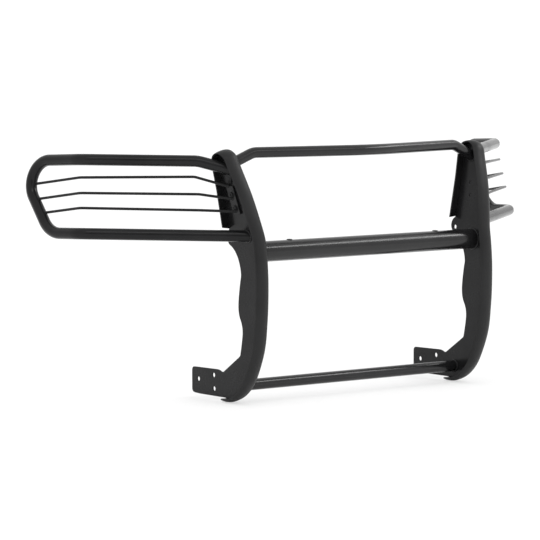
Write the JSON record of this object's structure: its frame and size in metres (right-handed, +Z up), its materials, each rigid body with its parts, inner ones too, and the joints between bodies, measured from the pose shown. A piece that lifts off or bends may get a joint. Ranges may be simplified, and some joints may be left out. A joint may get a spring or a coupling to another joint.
{
  "type": "front grille guard",
  "caption": "Black tubular front grille guard for a pickup truck: upright plates with formed edge strips, crossbars and headlight wings, bolted on through rear tabs.",
  "frame": {"origin": "middle of the footprint, level with the lowest point of the edge strips under the mounting tabs", "axes": "+Z up, -Y towards the front of the vehicle, +X to the right seen from in front, across the vehicle"},
  "size_m": [1.72, 0.5894, 0.7413],
  "materials": {
    "powder_coat": "satin black powder coat",
    "textured_coat": "black fine-textured coat",
    "fastener": "black zinc fasteners",
    "plug": "matt black plastic"
  },
  "bodies": {
    "root": {"riser_plate_right": "powder_coat", "riser_plate_left": "powder_coat", "riser_edge_strip_right": "textured_coat", "riser_edge_strip_left": "textured_coat", "wing_loop_right": "powder_coat", "wing_loop_left": "powder_coat", "wing_rod_upper_right": "powder_coat", "wing_rod_upper_left": "powder_coat", "wing_rod_middle_right": "powder_coat", "wing_rod_middle_left": "powder_coat", "wing_rod_lower_right": "powder_coat", "wing_rod_lower_left": "powder_coat", "rod_bracket_right": "powder_coat", "rod_bracket_left": "powder_coat", "wing_tube_tab_right": "powder_coat", "wing_tube_tab_left": "powder_coat", "bracket_bolt_upper_right": "fastener", "bracket_bolt_upper_left": "fastener", "bracket_bolt_lower_right": "fastener", "bracket_bolt_lower_left": "fastener", "lamp_hole_plug_right": "plug", "lamp_hole_plug_left": "plug", "top_crossbar": "powder_coat", "centre_crossbar": "powder_coat", "lower_crossbar": "powder_coat"}
  },
  "joints": []
}
